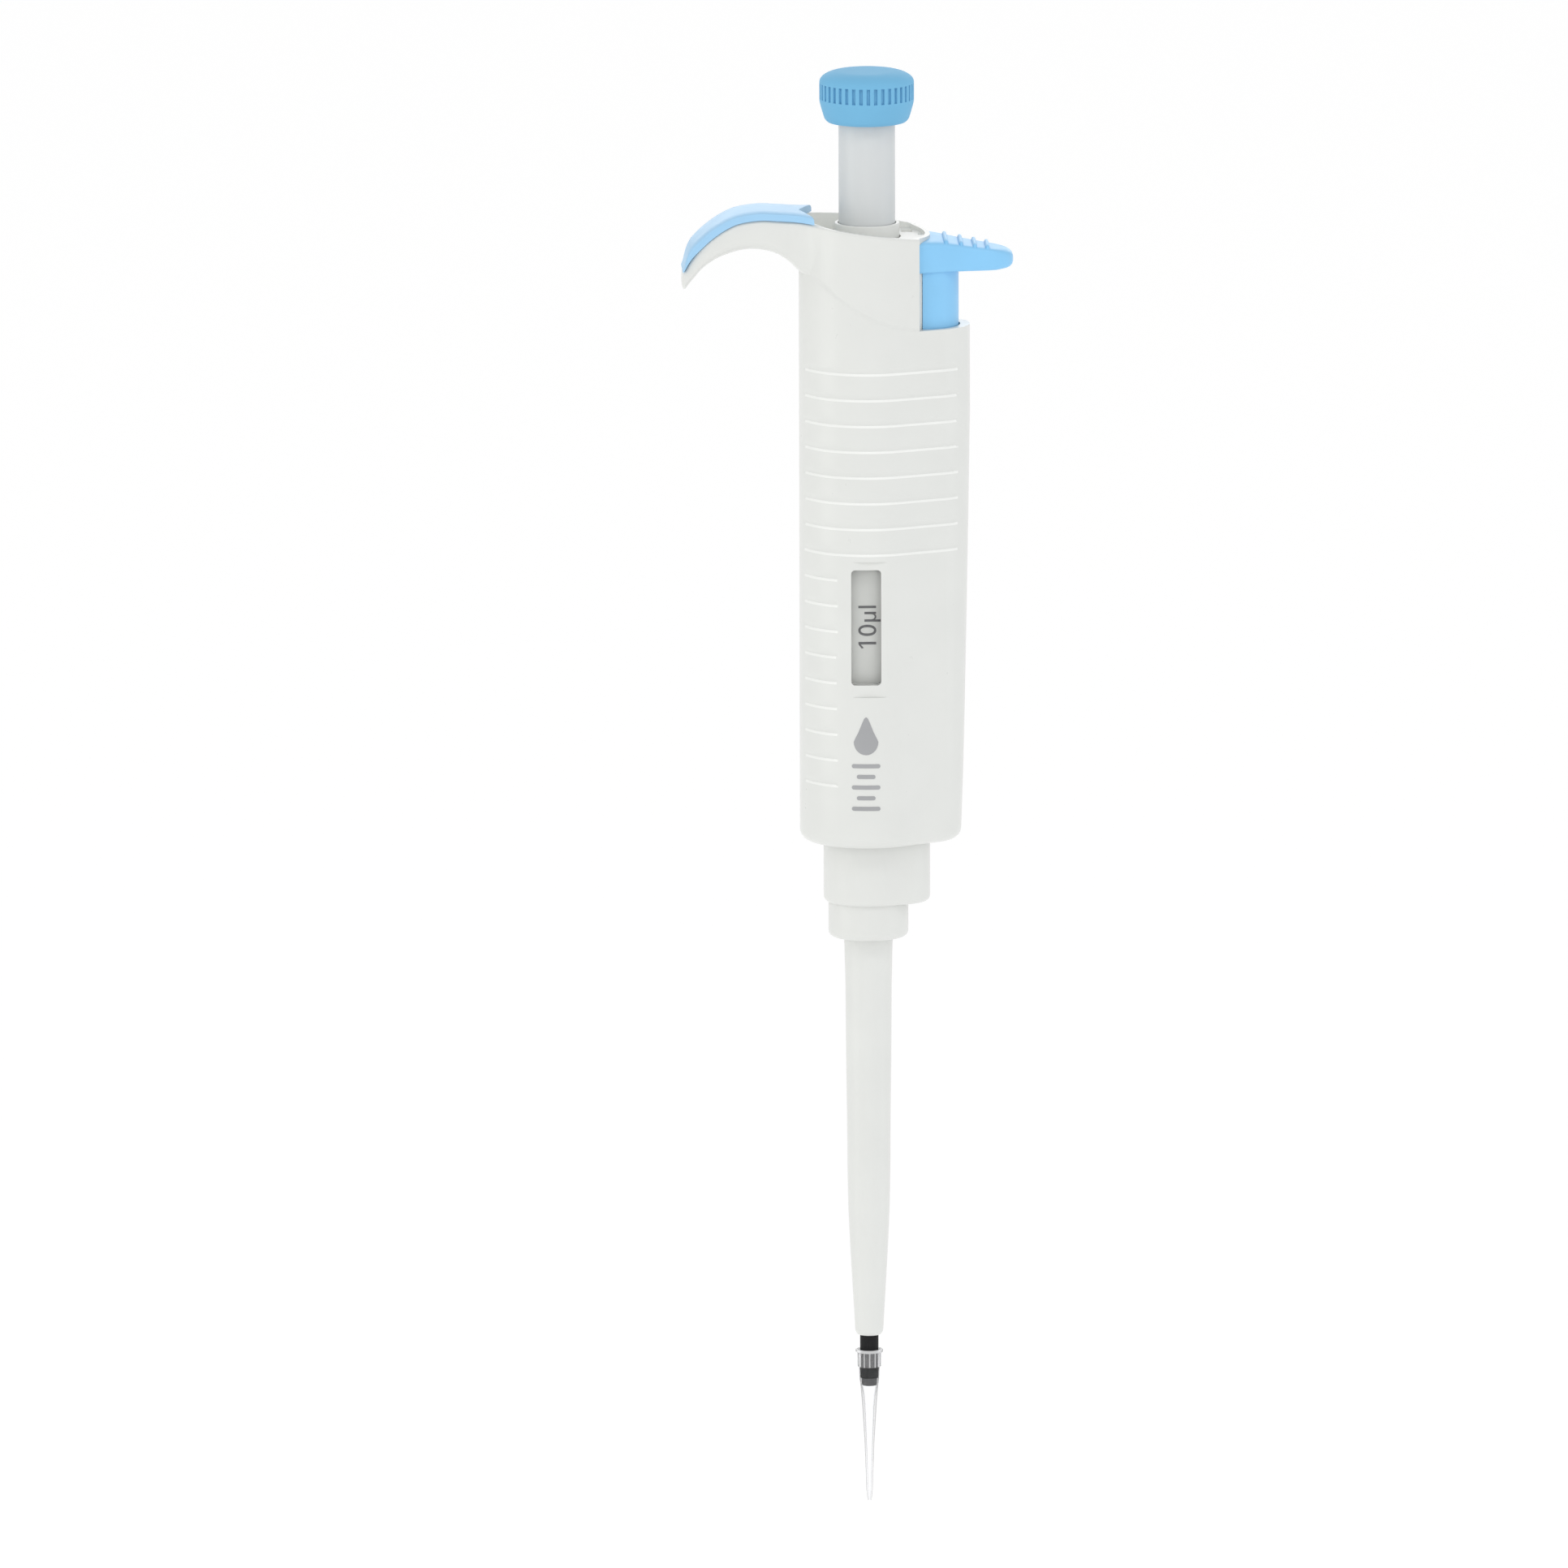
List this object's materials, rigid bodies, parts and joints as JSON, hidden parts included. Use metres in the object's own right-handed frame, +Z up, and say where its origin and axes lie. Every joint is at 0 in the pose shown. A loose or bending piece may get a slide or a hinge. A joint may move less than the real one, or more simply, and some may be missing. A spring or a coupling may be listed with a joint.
{
  "type": "adjustable micropipette",
  "caption": "Single-channel air-displacement micropipette with a finger hook, a push button, a side tip ejector, a calibration ring and a fitted clear tip.",
  "frame": {"origin": "top of the arch under the finger hook, in the middle plane, where the forefinger carries the pipette", "axes": "+Z up along the piston axis towards the push button, +X from the finger hook towards the ejector button, the window faces -Y"},
  "size_m": [0.0677, 0.0278, 0.2959],
  "materials": {
    "handle_white": "satin moulded",
    "ring_white": "satin moulded",
    "sleeve_white": "satin moulded, slightly greyer",
    "collar_white": "satin moulded",
    "blue": "satin moulded",
    "plate_grey": "matt, printed",
    "chassis_grey": "moulded",
    "steel": "drawn or turned",
    "nozzle_black": "satin moulded",
    "seal_white": "machined seal plastic",
    "rubber_black": "matt",
    "clear": "clear moulded plastic"
  },
  "bodies": {
    "handle": {"handle_shell": "handle_white", "hook_cover": "blue", "window_lens": "clear", "volume_plate": "plate_grey", "guide_tube": "chassis_grey", "bottom_spigot": "chassis_grey", "coupling_nut": "steel", "tip_cone": "nozzle_black", "piston_seal": "seal_white", "seal_o_ring": "rubber_black", "seal_retainer": "chassis_grey", "seal_spring": "steel", "piston_guide": "chassis_grey", "spring_seat": "chassis_grey", "primary_spring": "steel", "blowout_spring": "steel", "ejector_spring": "steel", "ejector_spring_pin": "steel"},
    "calibration": {"calibration_ring": "ring_white"},
    "stop": {"stop_sleeve": "chassis_grey"},
    "plunger": {"plunger_rod": "steel", "plunger_flange": "chassis_grey", "retaining_clip": "steel", "stop_collar": "steel", "piston_holder": "chassis_grey", "piston": "steel"},
    "button": {"push_button": "blue", "button_sleeve": "sleeve_white"},
    "blowout": {"blowout_washer": "steel"},
    "ejector": {"ejector_button": "blue", "ejector_rod": "steel", "ejector_screw": "steel", "ejector_yoke": "collar_white", "ejector_sleeve": "collar_white"},
    "tip": {"tip": "clear"}
  },
  "joints": [
    {"name": "calibration_turn", "type": "hinge", "parent": "handle", "child": "calibration", "pos_m": [0.0234, 0, 0], "axis": [0, 0, 1], "range_deg": [-181, 181]},
    {"name": "stop_slide", "type": "slide", "parent": "handle", "child": "stop", "axis": [0, 0, 1], "range_m": [-0.0005, 0.0005]},
    {"name": "plunger_slide", "type": "slide", "parent": "stop", "child": "plunger", "axis": [0, 0, -1], "range_m": [0, 0.015], "stiffness_N_per_m": 300, "springref_m": -0.006, "deforming": ["primary_spring"]},
    {"name": "button_spin", "type": "hinge", "parent": "plunger", "child": "button", "pos_m": [0.0234, 0, 0], "axis": [0, 0, 1], "continuous": true},
    {"name": "blowout_slide", "type": "slide", "parent": "handle", "child": "blowout", "axis": [0, 0, -1], "range_m": [0, 0.0046], "deforming": ["blowout_spring"]},
    {"name": "ejector_slide", "type": "slide", "parent": "handle", "child": "ejector", "axis": [0, 0, -1], "range_m": [0, 0.0085], "stiffness_N_per_m": 250, "springref_m": -0.004, "deforming": ["ejector_spring"]},
    {"name": "tip_slide", "type": "slide", "parent": "handle", "child": "tip", "axis": [0, 0, -1], "range_m": [0, 0.0058]}
  ],
  "couplings": [
    {"joint": "calibration_turn", "follows": "stop_slide", "rad_per_m": 6283.2},
    {"joint": "blowout_slide", "follows": "plunger_slide", "ratio": 0.3},
    {"joint": "tip_slide", "follows": "ejector_slide", "ratio": 0.67}
  ]
}
